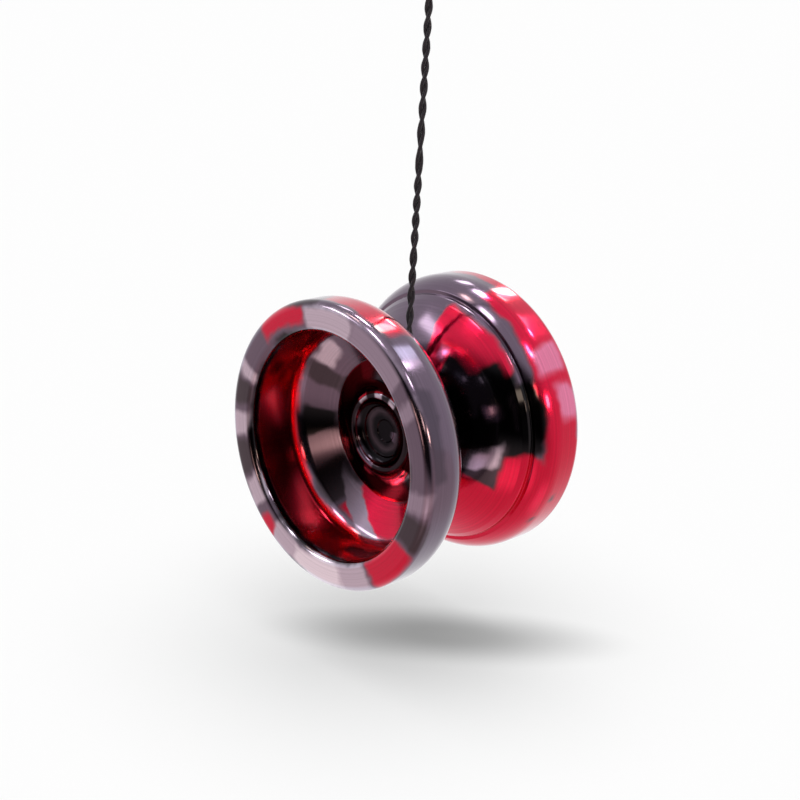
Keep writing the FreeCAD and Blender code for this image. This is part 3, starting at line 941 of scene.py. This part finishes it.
def make_floor():
    """A white floor, with a painted shadow below the yo-yo: a soft pool of shade, wide across the
    view, painted into its colour and glow.
    """
    size = 4.0
    corners = [(-size, -size, FLOOR_Z), (size, -size, FLOOR_Z), (size, size, FLOOR_Z),
               (-size, size, FLOOR_Z)]
    mesh = bpy.data.meshes.new("floor")
    mesh.from_pydata(corners, [], [(0, 1, 2, 3)])
    material, tree, shader = new_material("floor_white")
    across_view = math.radians(CAMERA_AZIMUTH)
    place = add(tree, "ShaderNodeTexCoord").outputs["Object"]
    in_view = add(tree, "ShaderNodeVectorRotate", {"Vector": place, "Angle": -across_view},
                  rotation_type="Z_AXIS")
    scale = (1 / PAINTED_SHADE_REACH[0], 1 / PAINTED_SHADE_REACH[1], 0)
    from_middle = add(tree, "ShaderNodeVectorMath",
                      {0: in_view.outputs[0], 1: scale, 2: (-PAINTED_SHADE_RIGHT * scale[0], 0, 0)},
                      operation="MULTIPLY_ADD")
    away = add(tree, "ShaderNodeVectorMath", {0: from_middle.outputs[0]}, operation="LENGTH")
    # Painted shadow: the floor's colour and glow are darkened in a soft pool below the yo-yo
    shade = ramp(tree, away.outputs["Value"], 1.0, 0.15)
    left = math_node(tree, "MULTIPLY_ADD", shade, -PAINTED_SHADE_DEPTH, 1)
    tree.links.new(math_node(tree, "MULTIPLY", left, FLOOR_TONE), shader.inputs["Base Color"])
    tree.links.new(math_node(tree, "MULTIPLY", left, FLOOR_GLOW),
                   shader.inputs["Emission Strength"])
    shader.inputs["Emission Color"].default_value = (1, 1, 1, 1)
    shader.inputs["Specular IOR Level"].default_value = 0
    shader.inputs["Roughness"].default_value = 0.9
    mesh.materials.append(material)
    floor = bpy.data.objects.new("floor", mesh)
    bpy.context.scene.collection.objects.link(floor)
    floor.visible_glossy = False


def seen_from_front(azimuth, elevation):
    """The direction that lies so many degrees right of the way to the camera, and above it."""
    a, e = math.radians(azimuth), math.radians(elevation)
    in_view = Vector((math.sin(a) * math.cos(e), math.sin(e), math.cos(a) * math.cos(e)))
    return bpy.context.scene.camera.matrix_world.to_3x3() @ in_view


# A patch of the surroundings is (direction, half width and half height in degrees, softness,
# colour, strength). Later ones lie in front.
WALLS = [
    (seen_from_front(-10, -66), 80, 32, 0.5, (0.80, 0.62, 0.60), 1.0),
    (seen_from_front(-20, -10), 46, 24, 0.35, (0.013, 0.011, 0.013), 1.0),
]
LAMPS = [
    (Vector((-0.65, -0.61, 0.46)), 10, 4, 0.25, (1.0, 0.97, 1.0), 6),
    (Vector((-0.35, 0.13, 0.93)), 5, 5, 0.25, (1.0, 0.97, 1.0), 45),
    (Vector((-0.60, 0.36, 0.71)), 5, 4, 0.25, (1.0, 0.97, 1.0), 10),
    (Vector((-0.47, -0.40, 0.79)), 4, 3, 0.25, (1.0, 0.82, 0.66), 14),
    (Vector((-0.37, 0.73, 0.57)), 3.5, 3, 0.25, (1.0, 0.90, 0.76), 24),
    (Vector((-0.28, 0.66, 0.70)), 3, 3, 0.25, (1.0, 0.84, 0.66), 16),
    (Vector((0.09, 0.66, 0.75)), 5, 4, 0.25, (0.80, 0.90, 1.0), 6),
    (Vector((0.26, 0.60, 0.76)), 2.5, 2.5, 0.25, (1.0, 0.97, 1.0), 45),
    (Vector((0.57, -0.08, 0.82)), 4, 4, 0.35, (1.0, 0.97, 1.0), 28),
    (Vector((0.96, -0.04, 0.29)), 5, 4, 0.25, (1.0, 0.74, 0.52), 28),
    (Vector((0.75, -0.56, 0.36)), 4, 4, 0.35, (1.0, 0.80, 0.60), 9),
    (Vector((-0.17, -0.56, 0.81)), 6, 4, 0.35, (1.0, 0.97, 1.0), 18),
    (Vector((0.00, -0.99, -0.04)), 6, 5, 0.35, (1.0, 0.68, 0.52), 3),
    (Vector((0.42, -0.68, -0.60)), 13, 10, 0.6, (1.0, 0.80, 0.78), 1.3),
    (Vector((0.55, 0.13, -0.82)), 13, 11, 0.7, (1.0, 0.90, 0.94), 1.25),
]
BRIGHT = (0.92, 0.90, 0.93, 1)
WHITE = (0.975, 0.975, 0.975, 1)


def facing(tree, direction, other):
    """Cosine of the angle between the direction looked in and another one."""
    return add(tree, "ShaderNodeVectorMath", {0: direction, 1: tuple(other)},
               operation="DOT_PRODUCT").outputs["Value"]


def patch_mask(tree, direction, middle, half_width, half_height, softness):
    """1 inside a rectangle of the surroundings, 0 outside."""
    middle = middle.normalized()
    across = middle.cross(Vector((0, 0, 1))).normalized()
    up = across.cross(middle)
    mask = math_node(tree, "GREATER_THAN", facing(tree, direction, middle), 0.0)
    for axis, half in ((across, half_width), (up, half_height)):
        off = math_node(tree, "ABSOLUTE", facing(tree, direction, axis))
        edge = math.sin(math.radians(half))
        inside = ramp(tree, off, edge * (1 + softness), edge * (1 - softness))
        mask = math_node(tree, "MULTIPLY", mask, inside)
    return mask


def make_world():
    """Pale all round, but warm below and dark behind the camera, with lamps, most of them
    overhead. The camera sees white, and the world lights nothing matt, so the floor's light is
    its own and the overhead one alone."""
    world = bpy.data.worlds.new("studio")
    world.use_nodes = True
    tree = world.node_tree
    tree.nodes.clear()
    direction = add(tree, "ShaderNodeTexCoord").outputs["Generated"]
    colour = BRIGHT
    for middle, half_width, half_height, softness, tint, strength in WALLS + LAMPS:
        shine = tuple(c * strength for c in tint) + (1,)
        mask = patch_mask(tree, direction, middle, half_width, half_height, softness)
        colour = mix_colour(tree, mask, colour, shine)
    path = add(tree, "ShaderNodeLightPath")
    colour = mix_colour(tree, path.outputs["Is Camera Ray"], colour, WHITE)
    studio = add(tree, "ShaderNodeBackground", {"Color": colour})
    add(tree, "ShaderNodeOutputWorld", {"Surface": studio.outputs[0]})
    world.cycles_visibility.diffuse = False
    bpy.context.scene.world = world


def make_overhead():
    """A wide soft light straight above, which lights the floor and lays the shadow on it."""
    light = bpy.data.lights.new("overhead", "SUN")
    light.angle = math.radians(OVERHEAD_WIDTH)
    light.energy = OVERHEAD_STRENGTH
    light.cycles.use_multiple_importance_sampling = False
    holder = bpy.data.objects.new("overhead", light)
    bpy.context.scene.collection.objects.link(holder)
    holder.visible_glossy = False


make_floor()
make_world()
make_overhead()
bpy.context.scene.view_settings.view_transform = "Standard"
